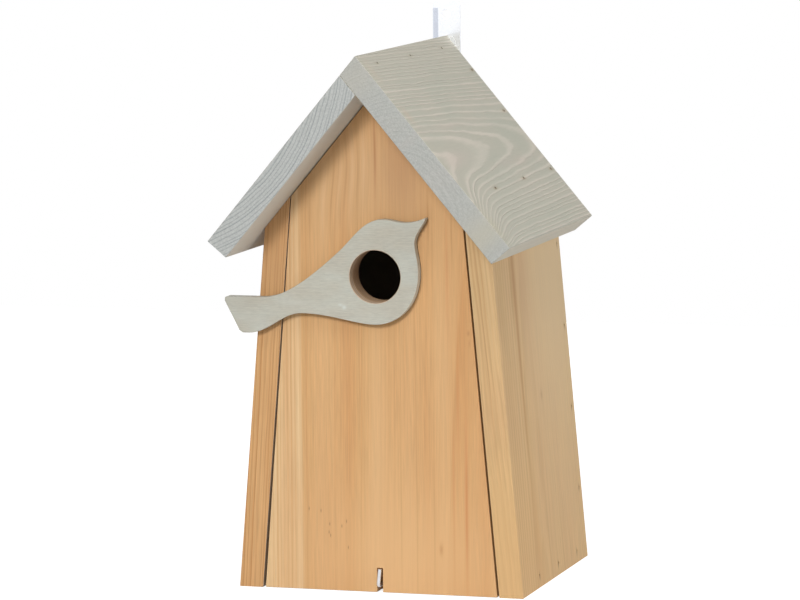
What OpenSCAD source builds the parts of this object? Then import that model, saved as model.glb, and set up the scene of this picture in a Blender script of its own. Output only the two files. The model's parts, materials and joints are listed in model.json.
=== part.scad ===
// Nesting box with leaning sides, a steep gable roof and a bird-shaped plate round the entrance.
// The front panel hangs on two nails and swings up for cleaning; a square hook in the floor's
// front edge keeps it shut. Millimetres, +Z up, front towards -Y, origin at the middle of the base.

/* [Body] */
// Width across the side panels at the base
base_w = 180; // [160:1:210]
// Depth of the body, from the side panels' front edges to the back
body_d = 152; // [130:1:180]
// Height of the roof's inner ridge above the base
ridge_h = 305; // [290:1:330]
// Lean of each side panel towards the middle, in degrees
side_lean = 5; // [3:0.25:6]
// Thickness of the side panels
side_t = 15; // [12:0.5:18]
// Thickness of the back panel
back_t = 12; // [10:0.5:16]
// Thickness of the floor
floor_t = 15; // [12:0.5:18]
// Diameter of a drain hole in the floor
drain_d = 8; // [5:0.5:10]
// From the floor's edges to the middle of a drain hole
drain_inset = 30; // [26:1:40]

/* [Roof] */
// Slope of both roof boards, in degrees
roof_slope = 50; // [47:0.5:52]
// Thickness of the roof boards
roof_t = 15; // [12:0.5:18]
// Length of a roof board's underside, from the inner ridge down to the eave
eave_run = 128.5; // [122:0.5:140]
// Reach of the roof in front of the body
roof_overhang = 38; // [25:1:45]

/* [Front panel] */
// Thickness of the front panel
front_t = 12; // [10:0.5:14]
// How far the closed panel stands in front of the side panels' edges
front_proud = 0.4; // [0.3:0.1:1]
// Gap beside the panel at its foot, on the left
gap_foot_left = 1.8; // [1.6:0.1:2.4]
// Gap beside the panel at its foot, on the right
gap_foot_right = 1.2; // [1:0.1:2]
// Gap beside the panel at its left shoulder
gap_shoulder_left = 0.5; // [0.5:0.1:1.5]
// Gap beside the panel at its right shoulder
gap_shoulder_right = 1; // [0.8:0.1:1.5]
// Height of the gap between the gable and the roof
gap_roof = 0.8; // [0.7:0.1:3]
// Height of the panel's foot above the base
gap_base = 0.3; // [0.3:0.1:2]
// Gap between the closed panel and the floor's front edge
gap_floor = 0.4; // [0.3:0.1:1]

/* [Entrance and bird] */
// Diameter of the entrance hole
hole_d = 32; // [26:0.5:36]
// Drop from the roof's inner ridge to the middle of the entrance hole
hole_drop = 111.5; // [105:0.5:118]
// Distance of the entrance hole's middle to the right of the panel's middle
hole_x = 1; // [0:0.5:4]
// Thickness of the bird plate
bird_t = 6.5; // [5:0.5:8]
// Length of the bird from tail to beak
bird_l = 128; // [122:1:130]

/* [Nails and brads] */
// Drop from the roof's underside at the side panels' outer faces to the pivot nails
pivot_drop = 12.8; // [10:0.1:17]
// Diameter of a pivot nail
nail_d = 2.5; // [2:0.1:3.5]
// Length of a pivot nail under its head
nail_l = 38; // [30:1:45]
// Diameter of a pivot nail's head
nail_head_d = 5.5; // [4.5:0.1:7]
// Thickness of a pivot nail's head
nail_head_t = 1.2; // [0.8:0.1:2]
// Diameter of a headless brad
brad_d = 1.6; // [1.2:0.1:2]
// Length of a brad that holds two boards
brad_l = 35; // [28:1:38]
// Depth to which a brad from inside enters the bird plate
bird_brad_bite = 3.5; // [2:0.5:4]
// Depth of a brad's end below the wood
brad_sink = 0.8; // [0.3:0.1:1.5]
// Clearance round every nail, brad and hook in its hole
nail_fit = 0.05; // [0.02:0.01:0.08]
// From the roof's ends to the first and last ridge brad
ridge_brad_inset = 28; // [15:1:40]
// From the ridge down the slope to the ridge brads
ridge_brad_down = 8; // [6:0.5:10]
// From the ridge down the slope to the gable brads
gable_brad_down = 61; // [50:1:75]
// From square above the side panel's top up the slope to the eave brads
eave_brad_lift = 8; // [4:0.5:12]
// From the body's front edge to the first eave brad
eave_brad_inset = 20; // [12:1:30]
// From the body's front edge to the first brad into the floor
floor_brad_inset = 40; // [30:1:50]
// Height of the lowest brad between a side and the back
back_brad_low = 45; // [35:1:60]
// Drop from the roof's underside to the highest brad between a side and the back
back_brad_drop = 22; // [14:1:40]

/* [Latch hook] */
// Diameter of the hook's wire
hook_d = 2.3; // [1.6:0.1:2.6]
// Length of the hook's leg above the shank's axis
leg_l = 10.3; // [8:0.1:11]
// Radius of the bend between leg and shank, at the wire's axis
hook_bend = 2; // [1.8:0.1:3]
// Length of the shank inside the floor
shank_in = 18; // [12:1:25]
// Height of the shank's axis above the base
hook_h = 4.5; // [3.5:0.1:6]
// Distance of the shank's axis to the left of the middle
hook_left = 0.5; // [0:0.1:1]
// Lean of the leg at rest, in degrees
hook_lean = 6; // [0:0.5:8]
// Gap between the leg and the panel's face
hook_gap = 0.4; // [0.3:0.1:1]
// Play on each side of the wire in the slot that lets the leg through
slot_play = 0.7; // [0.7:0.1:2]
// Height of the gap between the leg's end and the top of the slot
slot_gap = 0.3; // [0.3:0.1:2]

/* [Hanger] */
// Width of the hanger strap
strap_w = 18; // [14:0.5:24]
// Length of the hanger strap
strap_l = 94; // [90:1:110]
// Thickness of the hanger strap
strap_t = 1.5; // [1:0.1:2.5]
// Radius of the strap's corners
strap_corner = 4; // [2:0.5:6]
// Reach of the strap above the roof's ridge
strap_reach = 22; // [18:0.5:30]
// Diameter of the hanging hole
hang_hole_d = 6; // [4:0.5:8]
// From the strap's top edge to the middle of the hanging hole
hang_hole_down = 9; // [7:0.5:12]
// Diameter of a hanger screw's shank
screw_d = 3.5; // [3:0.1:4]
// Length of a hanger screw under its head
screw_l = 11; // [8:0.5:11]
// Diameter of a hanger screw's head
screw_head_d = 7; // [6:0.1:8]
// Height of a hanger screw's head
screw_head_h = 2.4; // [1.8:0.1:3]
// From the strap's bottom edge to the lower screw
screw_up = 12; // [8:1:16]
// Distance between the two hanger screws
screw_gap = 18; // [14:1:22]

/* [Hidden] */
$fn = 64;

left = -1;
right = 1;
front_y = -body_d / 2;
back_y = body_d / 2;
roof_front_y = front_y - roof_overhang;

// Panel that swings: its two faces, and its pivot halfway between them
panel_front_y = front_y - front_proud;
panel_back_y = panel_front_y + front_t;
pivot_y = panel_front_y + front_t / 2;
bird_front_y = panel_front_y - bird_t;
floor_front_y = panel_back_y + gap_floor;
back_inner_y = back_y - back_t;

// Half widths at the base of the side panels' outer and inner faces
outer_w = base_w / 2;
inner_w = outer_w - side_t / cos(side_lean);
side_tan = tan(side_lean);
slope_tan = tan(roof_slope);

// A leaning face starts w from the middle at the base: its x at height z, and where it meets the roof
function face_x(w, z, lean = side_tan) = w - z * lean;
function roof_meet_z(w, lean = side_tan, gap = 0) =
    (ridge_h - gap - w * slope_tan) / (1 - lean * slope_tan);

inner_shoulder_z = roof_meet_z(inner_w);
outer_shoulder_z = roof_meet_z(outer_w);
side_mid_w = (inner_w + outer_w) / 2;
side_mid_z = roof_meet_z(side_mid_w);
pivot_h = outer_shoulder_z - pivot_drop;
hole_h = ridge_h - hole_drop;

// Half width at the base of the front panel and the lean of its edge, on the left and on the right
panel_w = [inner_w - gap_foot_left, inner_w - gap_foot_right];
panel_tan = [
    side_tan - (gap_foot_left - gap_shoulder_left) / inner_shoulder_z,
    side_tan - (gap_foot_right - gap_shoulder_right) / inner_shoulder_z
];

// Roof corners in the plane across the ridge; the right board laps over the left one's end
down_slope = [cos(roof_slope), -sin(roof_slope)];
off_slope = [sin(roof_slope), cos(roof_slope)];
inner_ridge = [0, ridge_h];
outer_ridge = [0, ridge_h + roof_t / cos(roof_slope)];
lap_corner = inner_ridge - down_slope * roof_t / sin(2 * roof_slope);
eave_low = inner_ridge + down_slope * eave_run;
eave_high = eave_low + off_slope * roof_t;
function flip(p) = [-p.x, p.y];

// Brads: spare length of a cutter outside the wood, and how far down the middle of the next board
// the ridge and eave brads aim
mouth = 3;
ridge_brad_aim = 25;
eave_brad_aim = 30;
brads_in_row = 3;
back_brads = 4;
floor_back_brads = 2;

strap_top_z = outer_ridge.y + strap_reach;
strap_low_z = strap_top_z - strap_l;
hang_hole_z = strap_top_z - hang_hole_down;
screws_z = [strap_low_z + screw_up, strap_low_z + screw_up + screw_gap];
strap_hole_play = 0.3;

// Cross recess in a screw's head
recess_w = 0.9;
recess_l = 3.6;
recess_deep = 1.2;

// Hook's leg and slot, and the points of the nails and the hook
leg_y = panel_front_y - hook_gap - hook_d / 2;
slot_w = hook_d + 2 * slot_play;
slot_top_z = hook_h + leg_l + slot_gap;
nail_point = 3;
panel_bore_spare = 1;
hook_point = 3;

// Bird outline round the middle of the entrance hole: smooth stretches between its turning points,
// over the top from tail to beak and back below, and the straight cut end of the tail
bird_drawn_l = 128;
bird_k = bird_l / bird_drawn_l;
bend_steps = 14;
over_bends = [
    [[-72, -14], [-61, -14], [-48, -8], [-23, 14.5]],        // tail root up the back
    [[-23, 14.5], [-13, 23.5], [-7, 34.6], [5, 34.6]],       // back to crown
    [[5, 34.6], [11, 34.6], [13, 33], [19, 33]],             // forehead
    [[19, 33], [24, 33], [28, 34.5], [31.6, 36]]             // upper edge of the beak
];
under_bends = [
    [[32, 35.4], [29.5, 30], [25, 26], [25, 20.5]],          // throat
    [[25, 20.5], [25, 16], [27.2, 10], [27.2, 3]],           // upper breast
    [[27.2, 3], [27.2, -16], [15, -29], [-0.5, -29]],        // breast to belly
    [[-0.5, -29], [-13, -29], [-28, -23.2], [-46, -23.2]],   // belly
    [[-46, -23.2], [-59, -22.8], [-68, -35.8], [-80, -36]]   // underside of the tail
];
beak_tip = [31.6, 36];
tail_end = [[-80, -36], [-84.5, -36], [-86.5, -34.5], [-95.7, -16.5], [-95.4, -14.6], [-94, -14]];
function bend_point(b, t) =
    b[0] * pow(1 - t, 3) + b[1] * 3 * t * pow(1 - t, 2) + b[2] * 3 * t * t * (1 - t) + b[3] * pow(t, 3);
function bend(b) = [for (i = [0 : bend_steps - 1]) bend_point(b, i / bend_steps)];
bird_outline = [
    for (b = over_bends) each bend(b),
    beak_tip,
    for (b = under_bends) each bend(b),
    each tail_end
];
bird_brads_at = [[-48, -15], [20, -16], [6, 26]];

// A flat outline in the plane across the ridge, drawn from y0 back to y1
module across(y0, y1)
    translate([0, y1, 0])
        rotate([90, 0, 0])
            linear_extrude(y1 - y0)
                children();

// Right-hand pieces are drawn as they are, left-hand ones in the mirror
module on_side(side)
    mirror([side == left ? 1 : 0, 0, 0])
        children();

// Straight rod along the way from p to q
module rod(p, q, from, to, d) {
    way = q - p;
    translate(p)
        rotate([0, acos(way.z / norm(way)), atan2(way.y, way.x)])
            translate([0, 0, from])
                cylinder(d = d, h = to - from);
}

// Brad driven at p towards q, or the hole that it makes
module brad(p, q, length = brad_l, hole = false)
    if (hole)
        rod(p, q, -mouth, length + nail_fit, brad_d + 2 * nail_fit);
    else
        rod(p, q, brad_sink, length, brad_d);

// Positions of a row of count brads from a to b
function row(a, b, count) = [for (i = [0 : count - 1]) a + (b - a) * i / (count - 1)];

// Point on the roof's outer face
function roof_point(down, y) =
    let (p = outer_ridge + down_slope * down) [p.x, y, p.y];

module ridge_brad_row(hole = false) {
    aim = flip(inner_ridge + down_slope * ridge_brad_aim + off_slope * roof_t / 2);
    for (y = row(roof_front_y + ridge_brad_inset, back_y - ridge_brad_inset, brads_in_row))
        brad(roof_point(ridge_brad_down, y), [aim.x, y, aim.y], hole = hole);
}

module gable_brad_pair(hole = false)
    for (side = [left, right])
        on_side(side) {
            p = roof_point(gable_brad_down, back_y - back_t / 2);
            brad(p, p - [off_slope.x, 0, off_slope.y], hole = hole);
        }

// Through the roof board, the middle of the side panel's top and down inside the panel
module eave_brad_row(side, hole = false) {
    head = [face_x(side_mid_w, side_mid_z), side_mid_z] + off_slope * roof_t - down_slope * eave_brad_lift;
    aim_z = side_mid_z - eave_brad_aim;
    on_side(side)
        for (y = row(front_y + eave_brad_inset, back_y - back_t / 2, brads_in_row))
            brad([head.x, y, head.y], [face_x(side_mid_w, aim_z), y, aim_z], hole = hole);
}

module back_brad_row(side, hole = false)
    on_side(side)
        for (z = row(back_brad_low, outer_shoulder_z - back_brad_drop, back_brads)) {
            p = [face_x(outer_w, z), back_y - back_t / 2, z];
            brad(p, p - [1, 0, 0], hole = hole);
        }

module floor_brad_row(side, hole = false)
    on_side(side)
        for (y = row(front_y + floor_brad_inset, back_inner_y - back_t, brads_in_row)) {
            p = [face_x(outer_w, floor_t / 2), y, floor_t / 2];
            brad(p, p - [1, 0, 0], hole = hole);
        }

module floor_back_row(hole = false)
    for (x = row(-inner_w / 2, inner_w / 2, floor_back_brads)) {
        p = [x, back_y, floor_t / 2];
        brad(p, p - [0, 1, 0], hole = hole);
    }

module bird_brad_group(hole = false)
    for (at = bird_brads_at) {
        p = [hole_x + at.x * bird_k, panel_back_y, hole_h + at.y * bird_k];
        brad(p, p - [0, 1, 0], length = front_t + bird_brad_bite, hole = hole);
    }

// Pivot nail from its head to its point, or its hole
module pivot_nail(side, hole = false) {
    seat_x = face_x(outer_w, pivot_h + nail_head_d / 2) - nail_head_t / 2;
    play = hole ? nail_fit : 0;
    on_side(side)
        translate([seat_x, pivot_y, pivot_h])
            rotate([0, -90, 0]) {
                translate([0, 0, hole ? -mouth : -nail_head_t])
                    cylinder(d = nail_head_d + 2 * play, h = hole ? mouth : nail_head_t);
                cylinder(d = nail_d + 2 * play, h = nail_l - (hole ? 0 : nail_point));
                if (!hole)
                    translate([0, 0, nail_l - nail_point])
                        cylinder(d1 = nail_d, d2 = nail_d / 4, h = nail_point);
                if (hole)
                    cylinder(d = nail_d + 2 * play, h = nail_l + panel_bore_spare);
            }
}

module side_panel(side)
    color("burlywood")
        difference() {
            on_side(side)
                across(front_y, back_y)
                    polygon([
                        [outer_w, 0],
                        [face_x(outer_w, outer_shoulder_z), outer_shoulder_z],
                        [face_x(inner_w, inner_shoulder_z), inner_shoulder_z],
                        [inner_w, 0]
                    ]);
            pivot_nail(side, hole = true);
            eave_brad_row(side, hole = true);
            back_brad_row(side, hole = true);
            floor_brad_row(side, hole = true);
        }

// Gable outline between the side panels: w and lean are the left and the right edge's
module gable(w, lean, foot_z = 0, gap = 0) {
    shoulder_z = [for (i = [0, 1]) roof_meet_z(w[i], lean[i], gap)];
    foot = [for (i = [0, 1]) [face_x(w[i], foot_z, lean[i]), foot_z]];
    shoulder = [for (i = [0, 1]) [face_x(w[i], shoulder_z[i], lean[i]), shoulder_z[i]]];
    polygon([foot[1], shoulder[1], [0, ridge_h - gap], flip(shoulder[0]), flip(foot[0])]);
}

module back_panel()
    color("burlywood")
        difference() {
            across(back_inner_y, back_y)
                gable([inner_w, inner_w], [side_tan, side_tan]);
            gable_brad_pair(hole = true);
            back_brad_row(left, hole = true);
            back_brad_row(right, hole = true);
            floor_back_row(hole = true);
            screw_set(hole = true);
        }

module floor_board()
    color("burlywood")
        difference() {
            across(floor_front_y, back_inner_y)
                polygon([
                    [-inner_w, 0],
                    [inner_w, 0],
                    [face_x(inner_w, floor_t), floor_t],
                    [-face_x(inner_w, floor_t), floor_t]
                ]);
            for (x = [drain_inset - inner_w, inner_w - drain_inset])
                for (y = [floor_front_y + drain_inset, back_inner_y - drain_inset])
                    translate([x, y, -mouth])
                        cylinder(d = drain_d, h = floor_t + 2 * mouth);
            hook_shape(nail_fit);
            floor_brad_row(left, hole = true);
            floor_brad_row(right, hole = true);
            floor_back_row(hole = true);
        }

// The entrance, through the bird plate and the front panel
module entrance()
    translate([hole_x, 0, hole_h])
        across(bird_front_y - mouth, panel_back_y + mouth)
            circle(d = hole_d);

module front_panel()
    color("sandybrown")
        difference() {
            across(panel_front_y, panel_back_y)
                gable(panel_w, panel_tan, gap_base, gap_roof);
            entrance();
            across(panel_front_y - mouth, panel_back_y + mouth)
                translate([-slot_w / 2, 0])
                    square([slot_w, slot_top_z]);
            pivot_nail(left, hole = true);
            pivot_nail(right, hole = true);
            bird_brad_group(hole = true);
        }

module bird_plate()
    color("darkgray")
        difference() {
            translate([hole_x, 0, hole_h])
                across(bird_front_y, panel_front_y)
                    scale(bird_k)
                        polygon(bird_outline);
            entrance();
            bird_brad_group(hole = true);
        }

module roof_board(outline)
    color("silver")
        difference() {
            across(roof_front_y, back_y)
                polygon(outline);
            ridge_brad_row(hole = true);
            gable_brad_pair(hole = true);
            eave_brad_row(left, hole = true);
            eave_brad_row(right, hole = true);
        }

module roof_board_left()
    roof_board([inner_ridge, lap_corner, flip(eave_high), flip(eave_low)]);

module roof_board_right()
    roof_board([lap_corner, outer_ridge, eave_high, eave_low]);

// Square hook: a shank along Y in the floor, a round bend and a leg in front of the panel
module hook_shape(play = 0)
    translate([-hook_left, 0, hook_h])
        rotate([0, hook_lean, 0]) {
            d = hook_d + 2 * play;
            shank_y = leg_y + hook_bend;
            shank_end_y = floor_front_y + shank_in;
            translate([0, leg_y, hook_bend])
                cylinder(d = d, h = leg_l - hook_bend);
            translate([0, shank_y, hook_bend])
                mirror([0, 1, 0])
                    rotate([0, 90, 0])
                        rotate_extrude(angle = 90)
                            translate([hook_bend, 0])
                                circle(d = d);
            translate([0, shank_y, 0])
                rotate([-90, 0, 0])
                    cylinder(d = d, h = shank_end_y - hook_point - shank_y + play);
            translate([0, shank_end_y - hook_point, 0])
                rotate([-90, 0, 0])
                    cylinder(d1 = d, d2 = d / 4, h = hook_point + play);
        }

module latch_hook()
    color("gainsboro")
        hook_shape();

// Flat strap with four round corners, drawn from its lower edge
module strap_outline()
    for (x = [strap_corner - strap_w / 2, strap_w / 2 - strap_corner])
        for (z = [strap_corner, strap_l - strap_corner]) {
            translate([x, z])
                circle(r = strap_corner);
            translate([-strap_w / 2, strap_corner])
                square([strap_w, strap_l - 2 * strap_corner]);
            translate([strap_corner - strap_w / 2, 0])
                square([strap_w - 2 * strap_corner, strap_l]);
        }

module hanger_strap()
    color("gainsboro")
        across(back_y, back_y + strap_t)
            difference() {
                translate([0, strap_low_z])
                    strap_outline();
                translate([0, hang_hole_z])
                    circle(d = hang_hole_d);
                for (z = screws_z)
                    translate([0, z])
                        circle(d = screw_d + 2 * strap_hole_play);
            }

// Pan-head screws through the strap, or their holes in the back panel
module screw_set(hole = false) {
    play = hole ? nail_fit : 0;
    for (z = screws_z)
        translate([0, back_y + strap_t, z])
            rotate([90, 0, 0])
                cylinder(d = screw_d + 2 * play, h = screw_l + play);
}

module pan_head()
    intersection() {
        dome_r = (pow(screw_head_d / 2, 2) + pow(screw_head_h, 2)) / (2 * screw_head_h);
        translate([0, 0, screw_head_h - dome_r])
            sphere(r = dome_r);
        cylinder(d = screw_head_d, h = screw_head_h);
    }

module hanger_screws()
    color("gainsboro") {
        screw_set();
        for (z = screws_z)
            translate([0, back_y + strap_t, z])
                rotate([-90, 0, 0])
                    difference() {
                        pan_head();
                        for (turn = [0, 90])
                            rotate([0, 0, turn])
                                translate([-recess_l / 2, -recess_w / 2, screw_head_h - recess_deep])
                                    cube([recess_l, recess_w, recess_deep + mouth]);
                    }
    }

module brads()
    color("dimgray")
        children();

side_panel(left);  // side_panel_left
side_panel(right);  // side_panel_right
back_panel();
floor_board();
front_panel();
bird_plate();
roof_board_left();
roof_board_right();
brads() pivot_nail(left);  // pivot_nail_left
brads() pivot_nail(right);  // pivot_nail_right
latch_hook();
hanger_strap();
hanger_screws();
brads() ridge_brad_row();  // ridge_brads
brads() gable_brad_pair();  // gable_brads
brads() eave_brad_row(left);  // eave_brads_left
brads() eave_brad_row(right);  // eave_brads_right
brads() back_brad_row(left);  // back_brads_left
brads() back_brad_row(right);  // back_brads_right
brads() floor_brad_row(left);  // floor_brads_left
brads() floor_brad_row(right);  // floor_brads_right
brads() floor_back_row();  // floor_brads_back
brads() bird_brad_group();  // bird_brads
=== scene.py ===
"""Finish, studio and camera of a wooden nesting box with a bird-shaped plate round its entrance.

Every board is a solid piece of softwood: its colour comes from growth rings round the middle of the
log that it was sawn from, so that faces, edges and end grain agree. The roof and the bird carry a thin
grey-green stain, and the strap, the hook and the screws are zinc-plated steel.
"""

import json
import logging
import math
from dataclasses import dataclass
from enum import Enum

import bmesh
import bpy
from mathutils import Matrix, Vector

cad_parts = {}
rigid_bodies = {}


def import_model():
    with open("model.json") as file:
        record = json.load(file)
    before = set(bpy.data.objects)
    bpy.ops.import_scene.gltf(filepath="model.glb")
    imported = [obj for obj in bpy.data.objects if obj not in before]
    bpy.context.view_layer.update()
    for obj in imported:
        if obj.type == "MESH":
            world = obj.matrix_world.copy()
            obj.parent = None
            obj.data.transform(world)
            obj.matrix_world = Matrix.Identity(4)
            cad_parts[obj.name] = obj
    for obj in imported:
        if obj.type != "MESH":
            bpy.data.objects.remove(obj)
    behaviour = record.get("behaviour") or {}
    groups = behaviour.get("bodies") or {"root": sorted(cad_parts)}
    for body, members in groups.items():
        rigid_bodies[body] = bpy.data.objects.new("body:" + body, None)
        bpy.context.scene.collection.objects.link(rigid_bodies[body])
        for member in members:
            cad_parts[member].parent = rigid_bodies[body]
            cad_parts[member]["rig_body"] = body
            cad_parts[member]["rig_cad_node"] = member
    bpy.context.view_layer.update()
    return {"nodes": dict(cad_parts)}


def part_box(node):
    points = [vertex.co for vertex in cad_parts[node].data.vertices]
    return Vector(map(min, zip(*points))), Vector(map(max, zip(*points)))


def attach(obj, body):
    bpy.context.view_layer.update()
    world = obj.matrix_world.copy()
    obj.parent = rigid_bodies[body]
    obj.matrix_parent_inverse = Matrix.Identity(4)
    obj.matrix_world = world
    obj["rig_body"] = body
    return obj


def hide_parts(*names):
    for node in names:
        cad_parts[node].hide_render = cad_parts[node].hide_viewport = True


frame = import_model()

Node = bpy.types.Node
Tree = bpy.types.NodeTree

# What can feed a node's input. Hex digits are colours.
Feed = Node | bpy.types.NodeSocket | Vector | tuple | float | str

MM = 0.001
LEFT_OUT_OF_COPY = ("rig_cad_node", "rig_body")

log = logging.getLogger("nesting_box")

# The boards' own directions. The roof slopes at 50 degrees and the sides lean in by 5.
ROOF_SLOPE = math.radians(50)
SIDE_LEAN = math.radians(5)
RIGHTWARDS = Vector((1, 0, 0))
BACKWARDS = Vector((0, 1, 0))
UPWARDS = Vector((0, 0, 1))
DOWN_RIGHT_ROOF = Vector((math.cos(ROOF_SLOPE), 0, -math.sin(ROOF_SLOPE)))
DOWN_LEFT_ROOF = Vector((-math.cos(ROOF_SLOPE), 0, -math.sin(ROOF_SLOPE)))
OFF_RIGHT_ROOF = Vector((math.sin(ROOF_SLOPE), 0, math.cos(ROOF_SLOPE)))
OFF_LEFT_ROOF = Vector((-math.sin(ROOF_SLOPE), 0, math.cos(ROOF_SLOPE)))
UP_RIGHT_SIDE = Vector((-math.sin(SIDE_LEAN), 0, math.cos(SIDE_LEAN)))
UP_LEFT_SIDE = Vector((math.sin(SIDE_LEAN), 0, math.cos(SIDE_LEAN)))

# What the lamps look at, in metres
OBJECT_MIDDLE = Vector((0, 0, 0.17))

# Middle and radius of the entrance hole in the front board, in millimetres
HOLE_X = 1.0
HOLE_Z = 193.5
HOLE_RADIUS = 16.0

# How closely a face has to look along a direction to count as facing it, as cosines
FACING = (0.6, 0.9)

# Where most values of the noise lie, and nearly all of them
NOISE_MIDDLE = (0.35, 0.65)
NOISE_SPREAD = (0.3, 0.7)

# Where the noise of a cloud starts to tint a board, and where it tints it most
CLOUD_RISE = (0.4, 0.65)

# Planed softwood: how it mirrors, and how far fibres make it glossier and duller
WOOD_IOR = 1.5
WOOD_SPECULAR = 0.35
FIBRE_GLOSS = (0.06, 0.08)

# Inside faces are left rough from the saw and have gone a little grey
ROUGH_INSIDE = "BDB5A8"
INSIDE_SHARE = 0.9

# The stain lies thick on a roof board's narrow faces and hides most of their rings
NARROW_SHARE = 0.8

# Size of the grain's ragged edges, across and along it, and of its pores, in millimetres
RAGGED_SIZE = (5, 22)
PORE = 0.8

# End grain: noise cells to a millimetre, and the share of the relief that it keeps
END_CELLS = 1.1
END_RELIEF = 0.2

# Runs of good years: noise cells to a ring, and by how many rings they push the later ones
GOOD_YEARS = 0.37
GOOD_YEARS_PUSH = 1.6

# Half the width of the soft border between sapwood and heartwood, in millimetres
SAP_BORDER = 1.2

# Painted contact shade: the arris at the back of the bird plate darkens between these depths from its face,
# and between these places to the right, where it comes to lie on the board. In millimetres.
REAR_SHADE_DEPTH = (4.6, 5.6)
REAR_SHADE_ACROSS = (-75, -68)

# Where a drilled hole's wall starts, beyond its radius, and the size of the drill's lines, in
# millimetres, and how dark and light they are
BORE_START = (0.5, 0.15)
DRILL_LINE = 0.9
DRILL_SHADES = (0.82, 1.18)

# Zinc plate's cloudy skin: where it shows, how much, its change of gloss, and in millimetres its
# height and the soft border of a band of painted reflection
ZINC_CLOUD = (0.45, 0.75)
ZINC_CLOUD_SHARE = 0.25
ZINC_GLOSS = (0.06, 0.10)
ZINC_BUMP = 0.02
ZINC_BORDER = 0.3

# Copies of the CAD's meshes: points closer than this, in millimetres, become one, flat edges go and
# folded ones are rounded
WELD = 0.002
FLAT = math.radians(0.4)
FOLDED = math.radians(30)
SMOOTH_UNDER = math.radians(32)


class Body(Enum):
    """Bodies of the frame that the new pieces ride on."""

    CASE = "case"
    FRONT = "front"


class Slot(Enum):
    """Material slots of the part's record."""

    FRONT_WOOD = "front_wood"
    SIDE_WOOD = "side_wood"
    ROOF_STAIN = "roof_stain"
    BIRD_STAIN = "bird_stain"
    ZINC = "zinc_steel"


def linear(hex_colour: str) -> tuple[float, float, float, float]:
    """Turns an sRGB hex colour into the linear colour that a shader takes, by the sRGB standard's curve.

    Args:
        hex_colour: Six hex digits, such as "C8A780".

    Returns:
        Red, green, blue and alpha, from 0 to 1.
    """
    shares = [int(hex_colour[i : i + 2], 16) / 255 for i in (0, 2, 4)]
    curved = [c / 12.92 if c <= 0.04045 else ((c + 0.055) / 1.055) ** 2.4 for c in shares]
    return (*curved, 1.0)


def add_node(tree: Tree, kind: str, feeds: dict | None = None, **settings) -> Node:
    """Adds one shader node.

    Args:
        tree: The node tree.
        kind: The node's type, without its ShaderNode prefix.
        feeds: What goes into its inputs, by name or number: a value, a socket, or a node whose first
            output in use is meant.
        **settings: The node's own settings. stops sets a colour ramp's places and values.

    Returns:
        The new node.
    """
    node = tree.nodes.new("ShaderNode" + kind)
    stops = settings.pop("stops", None)
    for name, value in settings.items():
        setattr(node, name, value)
    for place, value in (feeds or {}).items():
        live = [s for s in node.inputs if s.enabled]
        socket = live[place] if isinstance(place, int) else next(s for s in live if s.name == place)
        if isinstance(value, bpy.types.Node):
            value = next(s for s in value.outputs if s.enabled)
        if isinstance(value, bpy.types.NodeSocket):
            tree.links.new(value, socket)
        else:
            socket.default_value = value
    if stops:
        ramp = node.color_ramp
        while len(ramp.elements) < len(stops):
            ramp.elements.new(1.0)
        for element, (at, grey) in zip(ramp.elements, stops):
            element.position = at
            element.color = (grey, grey, grey, 1.0)
    return node


def mix(tree: Tree, share: Feed, under: Feed, over: Feed) -> Node:
    """Lays one colour over another.

    Args:
        tree: The node tree.
        share: How much of the upper colour shows, from 0 to 1.
        under: The lower colour.
        over: The upper colour.

    Returns:
        The mixed colour.
    """
    under, over = (linear(colour) if isinstance(colour, str) else colour for colour in (under, over))
    return add_node(tree, "Mix", {"Factor": share, "A": under, "B": over}, data_type="RGBA")


def times(tree: Tree, one: Feed, other: Feed) -> Node:
    """Multiplies two numbers."""
    return add_node(tree, "Math", {0: one, 1: other}, operation="MULTIPLY")


def multiply_add(tree: Tree, one: Feed, other: Feed, more: Feed) -> Node:
    """Multiplies two numbers and adds a third."""
    return add_node(tree, "Math", {0: one, 1: other, 2: more}, operation="MULTIPLY_ADD")


def line_noise(tree: Tree, value: Feed, scale: float) -> Node:
    """Noise along one direction."""
    return add_node(tree, "TexNoise", {"W": value, "Scale": scale, "Detail": 1.0}, noise_dimensions="1D")


def vector(tree: Tree, operation: str, one: Feed, other: Feed) -> Node:
    """Does one of the shader's operations on two vectors."""
    return add_node(tree, "VectorMath", {0: one, 1: other}, operation=operation)


def shaded(tree: Tree, colour: Feed, light: Feed) -> Node:
    """Makes a colour lighter or darker by a factor."""
    return add_node(tree, "VectorMath", {0: colour, "Scale": light}, operation="SCALE")


def span(tree: Tree, value: Feed, start: tuple[float, float] = (0, 1),
         end: tuple[float, float] = (0, 1)) -> Node:
    """Carries a number from one span over to another, and holds it at their ends.

    Args:
        tree: The node tree.
        value: The number.
        start: The span that it comes from.
        end: The span that it goes to.

    Returns:
        The new number.
    """
    return add_node(tree, "MapRange", {"Value": value, "From Min": start[0], "From Max": start[1],
                                       "To Min": end[0], "To Max": end[1]})


def drawn_noise(tree: Tree, place: Feed, across: float, along: float, detail: float,
                roughness: float = 0.5) -> Node:
    """Noise that is drawn out along the grain.

    Args:
        tree: The node tree.
        place: Gives the place in the log.
        across: Size of its cells across the grain, in millimetres.
        along: Their size along the grain.
        detail: How many finer layers it has.
        roughness: How strong the finer layers are.

    Returns:
        The noise's node.
    """
    cells = vector(tree, "MULTIPLY", place, (1 / across, 1 / across, 1 / along))
    return add_node(tree, "TexNoise", {"Vector": cells, "Scale": 1.0, "Detail": detail,
                                       "Roughness": roughness})


def length(tree: Tree, place: Feed, plane: tuple[float, float, float]) -> bpy.types.NodeSocket:
    """Distance from the origin, measured in one plane."""
    flat = vector(tree, "MULTIPLY", place, plane)
    return add_node(tree, "VectorMath", {0: flat}, operation="LENGTH").outputs["Value"]


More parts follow.
